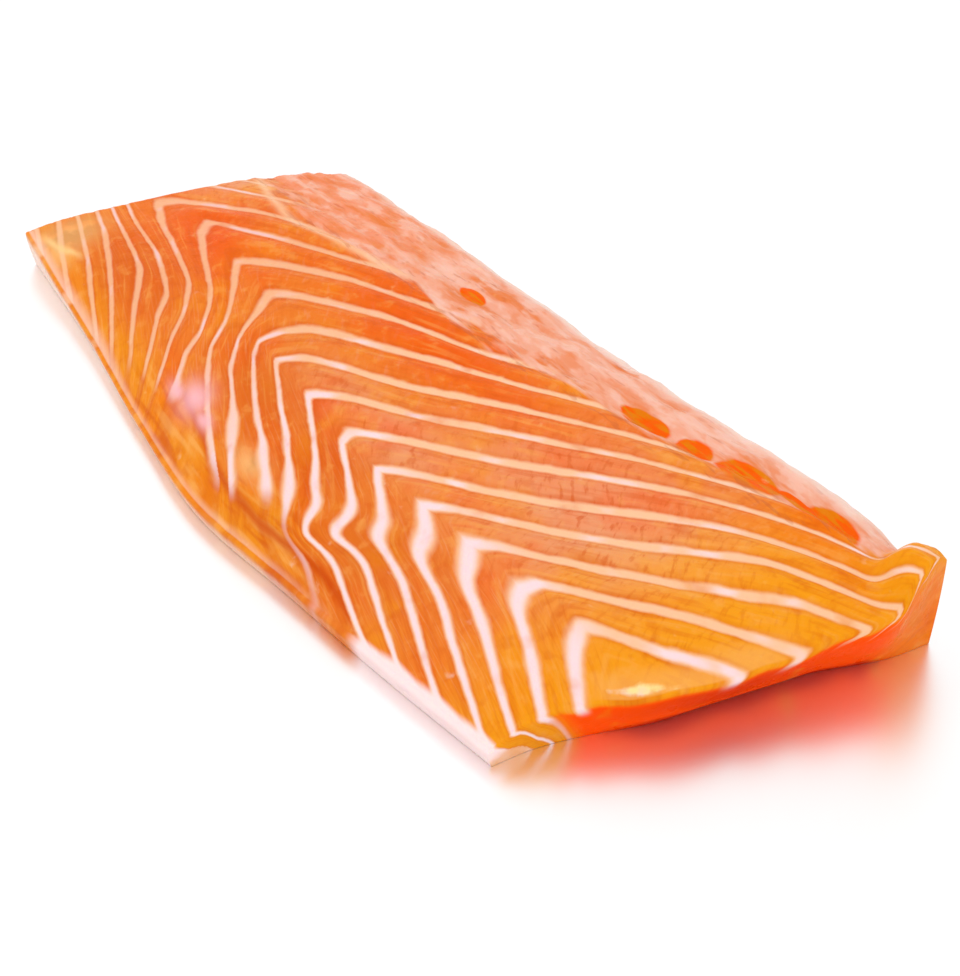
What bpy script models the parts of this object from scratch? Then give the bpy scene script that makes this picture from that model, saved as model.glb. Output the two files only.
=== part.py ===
"""A raw salmon fillet, flesh side up: one thick cut of fish that lies on its flat underside.

Frame, in metres: +X runs along the piece from the far cut to the near cut, +Y from the thin
edge to the thick back edge, +Z is up, and the origin is under the middle of the piece.
Sizes below are in millimetres. A place on the flesh is given by two fractions: s runs along
the piece from the far cut (0) to the near cut (1), t across it from the thin edge (0) to the
back edge (1).
"""
import bpy
import numpy as np

MM = 0.001

# Plan of the piece: both long edges at stations along it, both cut ends at stations across it
EDGE_S = (0, 0.2, 0.4, 0.55, 0.7, 0.85, 1)
THIN_EDGE_Y = (-34.8, -37.8, -42.3, -44.6, -41.5, -38.3, -34.3)
BACK_EDGE_Y = (30.2, 32.7, 34.2, 35.7, 39.2, 43.7, 42.6)
FAR_CUT_T = (0, 0.1, 0.3, 0.5, 0.75, 1)
FAR_CUT_X = (-99, -98.5, -95, -91, -85, -76)
NEAR_CUT_T = (0, 0.1, 0.22, 0.35, 0.5, 0.7, 0.9, 1)
NEAR_CUT_X = (83, 84, 87, 91.5, 94, 96.5, 98, 95)

# Thickness: the crown along the piece, and the thin edge where it meets the table
CROWN_S = (0, 0.15, 0.35, 0.6, 0.8, 0.92, 1)
CROWN_Z = (13.5, 16.2, 18.5, 19.5, 18, 16, 14)
THIN_EDGE_S = (0, 0.12, 0.3, 0.6, 1)
THIN_EDGE_Z = (7, 4, 2.2, 2, 2.5)
BACK_EDGE_Z = 5.0
BACK_ROUNDING = 4.5

# The crown lies nearer the back edge at the far cut, where the flank is straighter too
FLANK_S = (0, 0.2, 0.4, 1)
CROWN_T = (0.86, 0.68, 0.62, 0.62)
FLANK_CURVE = (1.15, 2.6, 3.2, 3.2)

# The flesh rolls down to the near cut
ROLL_START_S = 0.9
ROLL_T = (0, 0.1, 0.25, 0.55, 0.75, 1)
ROLL_DROP = (0, 1, 4, 5, 2.5, 0)

# The near corner at the back curls up into a lip
LIP_X = 96.5
LIP_Y = 41.0
LIP_RADIUS = 9.0
LIP_RISE = 7.4
LIP_STEEPNESS = 5

# The cuts and edges lean in on the way down to the flat underside
NEAR_LEAN_T = (0, 0.2, 0.5, 0.9, 1)
NEAR_LEAN = (0.3, 2.5, 6, 4.5, 1.2)
FAR_LEAN = 2.0
THIN_EDGE_LEAN = 0.8
BACK_LEAN_S = (0, 0.8, 1)
BACK_LEAN = (3, 3, 0.2)
LEAN_CURVE = 1.7

# Fat lines between the flakes: the place along the piece (mm) where a line crosses each of the
# stations across it. A line's number counts from the far cut, so lines left out lie between.
LINE_T = (0, 0.05, 0.1, 0.15, 0.2, 0.26, 0.29, 0.35, 0.4, 0.45, 0.5, 0.6, 0.7, 0.85, 1)
FAT_LINES = {
    1: (-55, -69, -80, -94, -109, -126, -134, -144, -150, -149, -146, -130, -110, -86, -60),
    3: (-37, -44, -53, -60, -68, -92, -102, -118, -126, -123, -118, -102, -83, -58, -34),
    4: (-31, -36, -41.5, -48, -52, -69, -85, -105, -114, -110, -104, -87, -68, -45, -22),
    5: (-26, -29.5, -34, -39, -43, -51, -61, -81, -90, -87.5, -81.5, -66, -46, -26, -4),
    6: (-20, -24, -27, -32, -33.5, -40, -45, -59, -68, -72, -62, -45, -31, -8, 14),
    7: (8, 3, -9.5, -20.5, -28, -32, -35, -43.5, -50.5, -46, -41, -30, -13, 11, 32),
    8: (14, 7, 0, -7, -18, -25, -27, -30.5, -34, -30, -24, -11.5, 8.5, 28, 46),
    9: (28, 20, 12.5, 5, -6.5, -18, -21, -20.5, -18, -12.5, -5.5, 7.5, 22.5, 43, 61),
    10: (38, 29.5, 19, 13.5, 6, -6.5, -13, -9, -2, 6.5, 13, 24, 36, 57, 75),
    11: (53, 40, 30, 20.5, 15.5, 6.5, 1, 6.5, 14.5, 21.5, 27, 38, 48.5, 69, 88),
    13: (72, 62, 52.5, 44, 34, 26.5, 30, 39, 45.5, 51, 55.5, 63, 71.5, 89, 109),
    15: (94, 84.5, 75, 66.5, 60.5, 51, 54, 62.5, 68.5, 73, 77.5, 84, 89.5, 104, 121),
    17: (118, 108, 99, 92, 84.5, 79, 76.5, 83, 87.5, 90.5, 93.5, 102, 111, 123, 137),
    19: (143, 133, 124, 116, 109, 102.5, 102, 106, 111, 115, 119, 126, 135, 147, 161),
}
FLAKE_BULGE = 0.6
BULGE_FADE_T = 0.08
BULGE_FADE_S = 0.08

# The strip of fat along the back edge is rough, and torn open in a few pits. A pit is its place
# along the piece (mm), its place across it (t), its length (mm) and its width (t).
STRIP_S = (0, 0.2, 0.45, 0.6, 0.75, 0.88, 1)
STRIP_T = (0.67, 0.68, 0.70, 0.74, 0.79, 0.86, 0.93)
STRIP_BLEND_T = 0.04
STRIP_ROUGHNESS = 0.5
STRIP_GRAIN_LENGTH = 7.0
STRIP_GRAIN_WIDTH = 3.5
NOISE_SEED = 11
NOISE_LATTICE = 64
PITS = (
    (-15, 0.82, 11, 0.04),
    (41, 0.80, 8, 0.035),
    (52, 0.81, 5, 0.03),
    (64, 0.865, 12, 0.035),
    (79, 0.89, 8, 0.03),
)
PIT_DEPTH = 0.9

# Facets: stations along the piece, stations across it, and rows down its sides. A share of the
# stations is spaced evenly, and the rest crowd towards the edges.
FACETS_ALONG = 96
FACETS_ACROSS = 42
EVEN_SHARE_ALONG = 0.7
EVEN_SHARE_ACROSS = 0.5
SIDE_ROWS = 3
SHARP_ANGLE = np.radians(50)

FLESH_COLOR = (0.90, 0.30, 0.09, 1.0)
FLESH_ROUGHNESS = 0.3


def smooth_curve(stations, values, at):
    """Cubic curve through the values at the stations, read at the given places."""
    stations = np.asarray(stations, float)
    values = np.asarray(values, float)
    slopes = np.gradient(values, stations)
    at = np.clip(np.asarray(at, float), stations[0], stations[-1])
    i = np.clip(np.searchsorted(stations, at, side="right") - 1, 0, len(stations) - 2)
    step = stations[i + 1] - stations[i]
    u = (at - stations[i]) / step
    rise = u * u * (3 - 2 * u)
    enter = u * (1 - u) ** 2 * step * slopes[i]
    leave = u * u * (1 - u) * step * slopes[i + 1]
    return values[i] + rise * (values[i + 1] - values[i]) + enter - leave


def lattice_noise(u, v, seed):
    """Smooth noise between -1 and 1, with one random value on each whole step of u and v."""
    size = NOISE_LATTICE
    lattice = np.random.default_rng(seed).uniform(-1, 1, (size, size))
    i = np.floor(u).astype(int)
    j = np.floor(v).astype(int)
    a = u - i
    b = v - j
    a = a * a * (3 - 2 * a)
    b = b * b * (3 - 2 * b)
    low = lattice[i % size, j % size] * (1 - a) + lattice[(i + 1) % size, j % size] * a
    high = lattice[i % size, (j + 1) % size] * (1 - a) + lattice[(i + 1) % size, (j + 1) % size] * a
    return low * (1 - b) + high * b


def plan(s, t):
    """Plan place of the flesh's surface."""
    far = smooth_curve(FAR_CUT_T, FAR_CUT_X, t)
    near = smooth_curve(NEAR_CUT_T, NEAR_CUT_X, t)
    thin = smooth_curve(EDGE_S, THIN_EDGE_Y, s)
    back = smooth_curve(EDGE_S, BACK_EDGE_Y, s)
    return far + s * (near - far), thin + t * (back - thin)


def foot_plan(s, t):
    """Plan place on the underside, whose outline the cuts and edges lean in to."""
    far = smooth_curve(FAR_CUT_T, FAR_CUT_X, t) + FAR_LEAN
    near = smooth_curve(NEAR_CUT_T, NEAR_CUT_X, t) - smooth_curve(NEAR_LEAN_T, NEAR_LEAN, t)
    thin = smooth_curve(EDGE_S, THIN_EDGE_Y, s) + THIN_EDGE_LEAN
    back = smooth_curve(EDGE_S, BACK_EDGE_Y, s) - smooth_curve(BACK_LEAN_S, BACK_LEAN, s)
    return far + s * (near - far), thin + t * (back - thin)


def flake_phase(x, t):
    """Number of fat lines passed between the far cut and a place; whole on each line."""
    numbers = sorted(FAT_LINES)
    courses = [smooth_curve(LINE_T, FAT_LINES[number], t) for number in numbers]
    phase = np.full(np.shape(x), float(numbers[0]))
    for k in range(len(numbers) - 1):
        share = np.clip((x - courses[k]) / (courses[k + 1] - courses[k]), 0, 1)
        phase += share * (numbers[k + 1] - numbers[k])
    return phase


def strip_share(s, t):
    """0 on the flaky flank, 1 on the strip of fat along the back edge, blended between."""
    start = smooth_curve(STRIP_S, STRIP_T, s)
    return np.clip((t - start) / STRIP_BLEND_T, 0, 1)


def strip_relief(x, y, t):
    """Height of the rough fat strip over the smooth form: coarse grain, less the pits."""
    height = STRIP_ROUGHNESS * lattice_noise(x / STRIP_GRAIN_LENGTH, y / STRIP_GRAIN_WIDTH, NOISE_SEED)
    for pit_x, pit_t, pit_length, pit_width in PITS:
        from_pit = ((x - pit_x) / pit_length) ** 2 + ((t - pit_t) / pit_width) ** 2
        height = height - PIT_DEPTH * np.exp(-from_pit)
    return height


def flake_relief(x, s, t):
    """Height of the flakes over the smooth form: low bulges between the fat lines."""
    bulge = 0.5 - 0.5 * np.cos(2 * np.pi * flake_phase(x, t))
    fade = np.clip(t / BULGE_FADE_T, 0, 1) * np.clip(s / BULGE_FADE_S, 0, 1)
    return FLAKE_BULGE * bulge * fade


def flesh_surface(s, t):
    """Points of the flesh's surface: a wedge up to the crown, a rounded back, then the relief."""
    x, y = plan(s, t)
    crown = smooth_curve(CROWN_S, CROWN_Z, s)
    thin = smooth_curve(THIN_EDGE_S, THIN_EDGE_Z, s)
    crown_t = smooth_curve(FLANK_S, CROWN_T, s)
    curve = smooth_curve(FLANK_S, FLANK_CURVE, s)
    to_thin = np.clip(1 - t / crown_t, 0, 1)
    to_back = np.clip((t - crown_t) / (1 - crown_t), 0, 1)
    flank = thin + (crown - thin) * (1 - to_thin ** curve)
    back = BACK_EDGE_Z + (crown - BACK_EDGE_Z) * (1 - to_back ** BACK_ROUNDING) ** (1 / BACK_ROUNDING)
    z = np.where(t < crown_t, flank, back)

    rolled = np.clip((s - ROLL_START_S) / (1 - ROLL_START_S), 0, 1) ** 2
    z = z - rolled * smooth_curve(ROLL_T, ROLL_DROP, t)
    from_lip = np.hypot(x - LIP_X, y - LIP_Y) / LIP_RADIUS
    z = z + LIP_RISE * np.exp(-from_lip ** LIP_STEEPNESS)

    strip = strip_share(s, t)
    z = z + (1 - strip) * flake_relief(x, s, t) + strip * strip_relief(x, y, t)
    return np.stack([x, y, z], axis=-1)


def edge_crowded(count, even_share):
    """Stations from 0 to 1 that lie closer together towards both ends."""
    q = np.linspace(0, 1, count + 1)
    return even_share * q + (1 - even_share) * (0.5 - 0.5 * np.cos(np.pi * q))


def rim_order(rows, columns):
    """Grid places round the rim, anticlockwise seen from above."""
    rim = [(i, 0) for i in range(rows)]
    rim += [(rows - 1, j) for j in range(1, columns)]
    rim += [(i, columns - 1) for i in range(rows - 2, -1, -1)]
    rim += [(0, j) for j in range(columns - 2, 0, -1)]
    return rim


def build_fillet():
    """One closed solid: the flesh's surface, leaning sides and a flat underside."""
    along = edge_crowded(FACETS_ALONG, EVEN_SHARE_ALONG)
    across = edge_crowded(FACETS_ACROSS, EVEN_SHARE_ACROSS)
    s, t = np.meshgrid(along, across, indexing="ij")
    surface = flesh_surface(s, t)
    rows, columns = s.shape
    rim = rim_order(rows, columns)
    rim_i = np.array([place[0] for place in rim])
    rim_j = np.array([place[1] for place in rim])
    top = surface[rim_i, rim_j]
    foot_x, foot_y = foot_plan(s[rim_i, rim_j], t[rim_i, rim_j])

    points = [surface.reshape(-1, 3)]
    for row in range(1, SIDE_ROWS + 1):
        down = row / SIDE_ROWS
        lean = down ** LEAN_CURVE
        x = top[:, 0] + lean * (foot_x - top[:, 0])
        y = top[:, 1] + lean * (foot_y - top[:, 1])
        points.append(np.stack([x, y, top[:, 2] * (1 - down)], axis=-1))
    points = np.concatenate(points)
    points[:, :2] -= (points[:, :2].min(axis=0) + points[:, :2].max(axis=0)) / 2

    faces = []
    for i in range(rows - 1):
        for j in range(columns - 1):
            a = i * columns + j
            faces.append((a, a + columns, a + columns + 1, a + 1))
    ring = [int(i) * columns + int(j) for i, j in zip(rim_i, rim_j)]
    for row in range(SIDE_ROWS):
        start = rows * columns + row * len(rim)
        below = list(range(start, start + len(rim)))
        for k in range(len(rim)):
            after = (k + 1) % len(rim)
            faces.append((ring[k], below[k], below[after], ring[after]))
        ring = below
    faces.append(tuple(reversed(ring)))

    mesh = bpy.data.meshes.new("fillet")
    mesh.from_pydata((points * MM).tolist(), [], faces)
    mesh.validate()
    mesh.update()
    mesh.shade_smooth()
    mesh.set_sharp_from_angle(angle=SHARP_ANGLE)
    return mesh


def flesh_material():
    """Wet orange flesh."""
    material = bpy.data.materials.new("salmon_flesh")
    material.use_nodes = True
    shader = material.node_tree.nodes["Principled BSDF"]
    shader.inputs["Base Color"].default_value = FLESH_COLOR
    shader.inputs["Roughness"].default_value = FLESH_ROUGHNESS
    shader.inputs["Metallic"].default_value = 0.0
    return material


def main():
    """Clear the scene and make the fillet."""
    for item in list(bpy.data.objects):
        bpy.data.objects.remove(item, do_unlink=True)
    mesh = build_fillet()
    mesh.materials.append(flesh_material())
    fillet = bpy.data.objects.new("fillet", mesh)
    bpy.context.scene.collection.objects.link(fillet)


main()
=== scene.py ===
"""A raw salmon fillet, flesh side up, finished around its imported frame.

The frame is in metres: +X runs along the piece from the far cut to the near cut, +Y from the
thin edge to the thick back edge, +Z is up. The fillet's own sizes are in millimetres. A place on
the flesh is two fractions: s runs along the piece from the far cut (0) to the near cut (1), and
t runs across it from the thin edge (0) to the back edge (1).
"""
import logging
from dataclasses import dataclass
from enum import IntEnum

import bpy
import numpy as np
from mathutils import Matrix, Vector


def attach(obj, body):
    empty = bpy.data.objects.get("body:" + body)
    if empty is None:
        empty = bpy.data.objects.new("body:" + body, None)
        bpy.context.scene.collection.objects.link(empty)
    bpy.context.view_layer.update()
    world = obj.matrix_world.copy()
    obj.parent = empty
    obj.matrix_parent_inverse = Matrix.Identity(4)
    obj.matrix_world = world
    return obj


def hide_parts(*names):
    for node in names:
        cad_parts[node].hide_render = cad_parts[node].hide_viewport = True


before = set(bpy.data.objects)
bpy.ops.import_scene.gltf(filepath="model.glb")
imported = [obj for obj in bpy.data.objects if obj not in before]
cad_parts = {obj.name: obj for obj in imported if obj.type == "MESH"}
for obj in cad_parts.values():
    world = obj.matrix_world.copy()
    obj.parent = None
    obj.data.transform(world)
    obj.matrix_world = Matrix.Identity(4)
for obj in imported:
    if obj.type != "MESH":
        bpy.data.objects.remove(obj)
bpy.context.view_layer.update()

MM = 0.001
MM_PER_CM = 10
Scales = tuple[float, float, float]
log = logging.getLogger("fillet")


def smooth_step(values: np.ndarray, low: float, high: float) -> np.ndarray:
    """Rise from 0 at low to 1 at high, level at both ends: 3u^2 - 2u^3 of the clipped share u.

    Args:
        values: Places to read the step at.
        low: Value at which the step starts.
        high: Value at which it is complete.

    Returns:
        The step at each place.
    """
    share = np.clip((values - low) / (high - low), 0, 1)
    return share * share * (3 - 2 * share)


@dataclass(frozen=True)
class Rise:
    """A smooth step from 0 at low to 1 at high, which falls where low is above high."""

    low: float
    high: float

    def at(self, values: np.ndarray) -> np.ndarray:
        """The step at each place."""
        return smooth_step(values, self.low, self.high)


def bell(values: np.ndarray, middle: float, width: float) -> np.ndarray:
    """Bell curve exp(-((value - middle) / width)^2)."""
    return np.exp(-(((values - middle) / width) ** 2))


@dataclass(frozen=True)
class Course:
    """A value that changes smoothly over named stations."""

    stations: tuple[float, ...]
    values: tuple[float, ...]

    def at(self, places: np.ndarray) -> np.ndarray:
        """Cubic through the values, with each slope taken from the neighbouring stations.

        Args:
            places: Where to read the curve; places past its ends read the end values.

        Returns:
            The curve at each place.
        """
        stations = np.asarray(self.stations, float)
        values = np.asarray(self.values, float)
        slopes = np.gradient(values, stations)
        places = np.clip(np.asarray(places, float), stations[0], stations[-1])
        i = np.clip(np.searchsorted(stations, places, side="right") - 1, 0, len(stations) - 2)
        step = stations[i + 1] - stations[i]
        u = (places - stations[i]) / step
        rise = u * u * (3 - 2 * u)
        enter = u * (1 - u) ** 2 * step * slopes[i]
        leave = u * u * (1 - u) * step * slopes[i + 1]
        return values[i] + rise * (values[i + 1] - values[i]) + enter - leave


@dataclass(frozen=True)
class Grain:
    """Smooth random relief with one seeded value on each whole step of two coordinates."""

    seed: int
    lattice: int = 64

    def at(self, u: np.ndarray, v: np.ndarray) -> np.ndarray:
        """Value between -1 and 1, blended from the four lattice values round each place.

        Args:
            u: Places on the first coordinate, in steps.
            v: Places on the second coordinate.

        Returns:
            The grain at each place.
        """
        size = self.lattice
        values = np.random.default_rng(self.seed).uniform(-1, 1, (size, size))
        i = np.floor(u).astype(int)
        j = np.floor(v).astype(int)
        a = u - i
        b = v - j
        a = a * a * (3 - 2 * a)
        b = b * b * (3 - 2 * b)
        low = values[i % size, j % size] * (1 - a) + values[(i + 1) % size, j % size] * a
        high = values[i % size, (j + 1) % size] * (1 - a)
        high = high + values[(i + 1) % size, (j + 1) % size] * a
        return low * (1 - b) + high * b

    def layered(self, u: np.ndarray, v: np.ndarray, layers: int) -> np.ndarray:
        """Sum of finer and finer grain: each layer has twice the steps and half the height.

        Args:
            u: Places on the first coordinate, in steps.
            v: Places on the second coordinate.
            layers: How many layers to add.

        Returns:
            The sum at each place.
        """
        total = np.zeros(np.shape(u))
        for layer in range(layers):
            scale = 2.0**layer
            total = total + Grain(self.seed + layer, self.lattice).at(u * scale, v * scale) / scale
        return total


@dataclass(frozen=True)
class FatLines:
    """The pale lines of fat between the flakes, which cross the piece in chevrons.

    courses holds, for each line number counted from the far cut, the place along the piece (mm)
    where the line crosses each station across it. Lines left out lie evenly between these. Where
    the thin flank folds, the lines bend towards the far cut.
    """

    stations: tuple[float, ...] = (
        0, 0.05, 0.1, 0.15, 0.2, 0.26, 0.29, 0.35, 0.4, 0.45, 0.5, 0.6, 0.7, 0.85, 1
    )
    courses: tuple[tuple[int, tuple[float, ...]], ...] = (
        (
            -2,
            (
                -109, -123, -134, -148, -163, -180, -188, -198,
                -204, -203, -200, -184, -164, -140, -114,
            ),
        ),
        (1, (-55, -69, -80, -94, -109, -126, -134, -144, -150, -149, -146, -130, -110, -86, -60)),
        (3, (-37, -44, -53, -60, -68, -92, -102, -118, -126, -123, -118, -102, -83, -58, -34)),
        (4, (-31, -36, -41.5, -48, -52, -69, -85, -105, -114, -110, -104, -87, -68, -45, -22)),
        (5, (-26, -29.5, -34, -39, -43, -51, -61, -81, -90, -87.5, -81.5, -66, -46, -26, -4)),
        (6, (-20, -24, -27, -32, -33.5, -40, -45, -59, -68, -72, -62, -45, -31, -8, 14)),
        (7, (8, 3, -9.5, -20.5, -28, -32, -35, -43.5, -50.5, -46, -41, -30, -13, 11, 32)),
        (8, (14, 7, 0, -7, -18, -25, -27, -30.5, -34, -30, -24, -11.5, 8.5, 28, 46)),
        (9, (28, 20, 12.5, 5, -6.5, -18, -21, -20.5, -18, -12.5, -5.5, 7.5, 22.5, 43, 61)),
        (10, (38, 29.5, 19, 13.5, 6, -6.5, -13, -9, -2, 6.5, 13, 24, 36, 57, 75)),
        (11, (53, 40, 30, 20.5, 15.5, 6.5, 1, 6.5, 14.5, 21.5, 27, 38, 48.5, 69, 88)),
        (13, (72, 62, 52.5, 44, 34, 26.5, 30, 39, 45.5, 51, 55.5, 63, 71.5, 89, 109)),
        (15, (94, 84.5, 75, 66.5, 60.5, 51, 54, 62.5, 68.5, 73, 77.5, 84, 89.5, 104, 121)),
        (17, (118, 108, 99, 92, 84.5, 79, 76.5, 83, 87.5, 90.5, 93.5, 102, 111, 123, 137)),
        (19, (143, 133, 124, 116, 109, 102.5, 102, 106, 111, 115, 119, 126, 135, 147, 161)),
    )
    fold_place: Course = Course(
        (12, 20, 27, 40, 58, 69, 88),
        (0.03, 0.06, 0.085, 0.148, 0.198, 0.22, 0.245),
    )
    fold_shift: Course = Course((12, 20, 27, 40, 58, 69, 88), (0, 4, 8.5, 5, 3.6, 2.2, 0.4))
    fold_width: float = 0.042
    crispness: float = 0.75
    drift_x: float = 0.25
    drift_t: float = 0.004
    fade_place: Course = Course(
        (-100, -60, -52, -44, -30, -20, 0, 8, 14, 25, 35, 45, 60),
        (-0.03, -0.01, 0.012, 0.034, 0.064, 0.075, 0.05, 0.05, 0.08, 0.05, 0.02, -0.03, -0.03),
    )
    fade_width: float = 0.02

    def phase(self, x: np.ndarray, t: np.ndarray) -> np.ndarray:
        """Number of lines passed between the far cut and a place, whole on each line.

        Args:
            x: Places along the piece in millimetres.
            t: Places across the piece.

        Returns:
            The count, which rises evenly from each line to the next.
        """
        x = x + self.drift_x
        t = t + self.drift_t
        x = x + self.fold_shift.at(x) * bell(t, self.fold_place.at(x), self.fold_width)
        numbers = [number for number, _ in self.courses]
        smooth = [Course(self.stations, course).at(t) for _, course in self.courses]
        sharp = [np.interp(t, self.stations, course) for _, course in self.courses]
        places = [a + self.crispness * (b - a) for a, b in zip(smooth, sharp)]
        count = np.full(np.shape(x), float(numbers[0]))
        for k in range(len(numbers) - 1):
            share = np.clip((x - places[k]) / (places[k + 1] - places[k]), 0, 1)
            count = count + share * (numbers[k + 1] - numbers[k])
        return count

    def strength(self, x: np.ndarray, t: np.ndarray) -> np.ndarray:
        """1 where the lines show in full, fading out before the thin edge in the far half."""
        start = self.fade_place.at(x)
        return smooth_step(t - start, -self.fade_width, self.fade_width)


@dataclass(frozen=True)
class Patch:
    """An oval place on the flesh: its middle, and its reach along (mm) and across the piece."""

    x: float
    t: float
    length: float
    width: float

    def share(self, x: np.ndarray, t: np.ndarray) -> np.ndarray:
        """Bell round the middle, 1 in the middle and 0 well outside."""
        return np.exp(-(((x - self.x) / self.length) ** 2) - ((t - self.t) / self.width) ** 2)


def patches_share(patches: tuple[Patch, ...], x: np.ndarray, t: np.ndarray) -> np.ndarray:
    """Largest of the patches' shares at each place."""
    return np.max([patch.share(x, t) for patch in patches], axis=0)


@dataclass(frozen=True)
class Streak:
    """A narrow band on the flesh: its place across the piece over the places along (mm)."""

    course: Course
    width: float
    fade: float = 4.0

    def share(self, x: np.ndarray, t: np.ndarray) -> np.ndarray:
        """1 along the band's middle, falling to 0 beside it and past its two ends.

        Args:
            x: Places along the piece in millimetres.
            t: Places across the piece.

        Returns:
            The share at each place.
        """
        first = self.course.stations[0]
        last = self.course.stations[-1]
        started = smooth_step(x, first - self.fade, first + self.fade)
        ended = smooth_step(x, last - self.fade, last + self.fade)
        return started * (1 - ended) * bell(t - self.course.at(x), 0, self.width)


@dataclass(frozen=True)
class FilletForm:
    """The fillet's form in millimetres, the same as the frame's solid, with finer relief."""

    thin_edge_y: Course = Course(
        (0, 0.2, 0.4, 0.55, 0.7, 0.85, 1),
        (-34.8, -37.8, -42.3, -44.6, -41.5, -38.3, -34.3),
    )
    back_edge_y: Course = Course(
        (0, 0.2, 0.4, 0.55, 0.7, 0.85, 1),
        (30.2, 32.7, 34.2, 35.7, 39.2, 43.7, 42.6),
    )
    far_cut_x: Course = Course((0, 0.1, 0.3, 0.5, 0.75, 1), (-99, -98.5, -95, -91, -85, -76))
    near_cut_x: Course = Course(
        (0, 0.1, 0.22, 0.35, 0.5, 0.7, 0.9, 1),
        (83, 84, 87, 91.5, 94, 96.5, 98, 95),
    )

    crown_z: Course = Course(
        (0, 0.15, 0.35, 0.6, 0.8, 0.92, 1),
        (13.5, 16.2, 18.5, 19.5, 18, 16, 14),
    )
    thin_edge_z: Course = Course((0, 0.12, 0.3, 0.6, 1), (7, 4, 2.2, 2, 2.5))
    back_edge_z: float = 5.0
    back_rounding: float = 4.5
    crown_t: Course = Course((0, 0.2, 0.4, 1), (0.86, 0.68, 0.62, 0.62))
    flank_curve: Course = Course((0, 0.2, 0.4, 1), (1.15, 2.6, 3.2, 3.2))

    roll_start: float = 0.9
    roll_drop: Course = Course((0, 0.1, 0.25, 0.55, 0.75, 1), (0, 1, 4, 5, 2.5, 0))
    lip_x: float = 96.5
    lip_y: float = 41.0
    lip_radius: float = 9.0
    lip_rise: float = 7.4
    lip_steepness: float = 5.0

    near_lean: Course = Course((0, 0.2, 0.5, 0.9, 1), (0.3, 2.5, 6, 4.5, 1.2))
    far_lean: float = 2.0
    thin_edge_lean: float = 0.8
    back_lean: Course = Course((0, 0.8, 1), (3, 3, 0.2))
    lean_curve: float = 1.7
    edge_rounding: float = 0.8

    lines: FatLines = FatLines()
    flake_bulge: float = 0.6
    bulge_fade_t: float = 0.08
    bulge_fade_s: float = 0.08
    line_crease: float = 0.1
    line_crease_width: float = 0.07
    fibre_relief: float = 0.06
    fibres: Grain = Grain(seed=5)
    fibres_per_flake: float = 6
    fibres_across: float = 14
    fibre_layers: int = 2

    strip_start: Course = Course(
        (0, 0.2, 0.45, 0.6, 0.75, 0.88, 1),
        (0.67, 0.68, 0.70, 0.74, 0.79, 0.86, 0.93),
    )
    strip_blend: float = 0.04
    strip_roughness: float = 0.5
    strip_grain: Grain = Grain(seed=11)
    strip_grain_length: float = 7.0
    strip_grain_width: float = 3.5
    strip_shreds: Grain = Grain(seed=23)
    shred_length: float = 3.2
    shred_width: float = 1.1
    shred_height: float = 0.2
    shred_layers: int = 3
    pits: tuple[Patch, ...] = (
        Patch(-15, 0.82, 11, 0.04),
        Patch(41, 0.80, 8, 0.035),
        Patch(52, 0.81, 5, 0.03),
        Patch(64, 0.865, 12, 0.035),
        Patch(79, 0.89, 8, 0.03),
    )
    pit_depth: float = 0.9

    def plan(self, s: np.ndarray, t: np.ndarray) -> tuple[np.ndarray, np.ndarray]:
        """Plan place of the flesh: the patch between the two cuts and the two long edges.

        Args:
            s: Places along the piece.
            t: Places across the piece.

        Returns:
            x and y of each place in millimetres.
        """
        far = self.far_cut_x.at(t)
        near = self.near_cut_x.at(t)
        thin = self.thin_edge_y.at(s)
        back = self.back_edge_y.at(s)
        return far + s * (near - far), thin + t * (back - thin)

    def foot_plan(self, s: np.ndarray, t: np.ndarray) -> tuple[np.ndarray, np.ndarray]:
        """Plan place on the underside, whose outline the cuts and edges lean in to.

        Args:
            s: Places along the piece.
            t: Places across the piece.

        Returns:
            x and y of each place in millimetres.
        """
        far = self.far_cut_x.at(t) + self.far_lean
        near = self.near_cut_x.at(t) - self.near_lean.at(t)
        thin = self.thin_edge_y.at(s) + self.thin_edge_lean
        back = self.back_edge_y.at(s) - self.back_lean.at(s)
        return far + s * (near - far), thin + t * (back - thin)

    def strip_share(self, s: np.ndarray, t: np.ndarray) -> np.ndarray:
        """0 on the flaky flank, 1 on the strip of fat along the back edge, blended between."""
        return np.clip((t - self.strip_start.at(s)) / self.strip_blend, 0, 1)

    def smooth_height(self, s: np.ndarray, t: np.ndarray) -> np.ndarray:
        """Height without relief.

        A wedge rises from the thin edge to the crown as 1 - (1 - t / crown)^curve, a superellipse
        rounds the back, the near end rolls down, and a lip curls up at the near back corner.

        Args:
            s: Places along the piece.
            t: Places across the piece.

        Returns:
            Height over the table.
        """
        x, y = self.plan(s, t)
        crown = self.crown_z.at(s)
        thin = self.thin_edge_z.at(s)
        crown_t = self.crown_t.at(s)
        to_thin = np.clip(1 - t / crown_t, 0, 1)
        to_back = np.clip((t - crown_t) / (1 - crown_t), 0, 1)
        flank = thin + (crown - thin) * (1 - to_thin ** self.flank_curve.at(s))
        round_back = (1 - to_back**self.back_rounding) ** (1 / self.back_rounding)
        back = self.back_edge_z + (crown - self.back_edge_z) * round_back
        height = np.where(t < crown_t, flank, back)
        rolled = np.clip((s - self.roll_start) / (1 - self.roll_start), 0, 1) ** 2
        height = height - rolled * self.roll_drop.at(t)
        from_lip = np.hypot(x - self.lip_x, y - self.lip_y) / self.lip_radius
        return height + self.lip_rise * np.exp(-(from_lip**self.lip_steepness))

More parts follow.
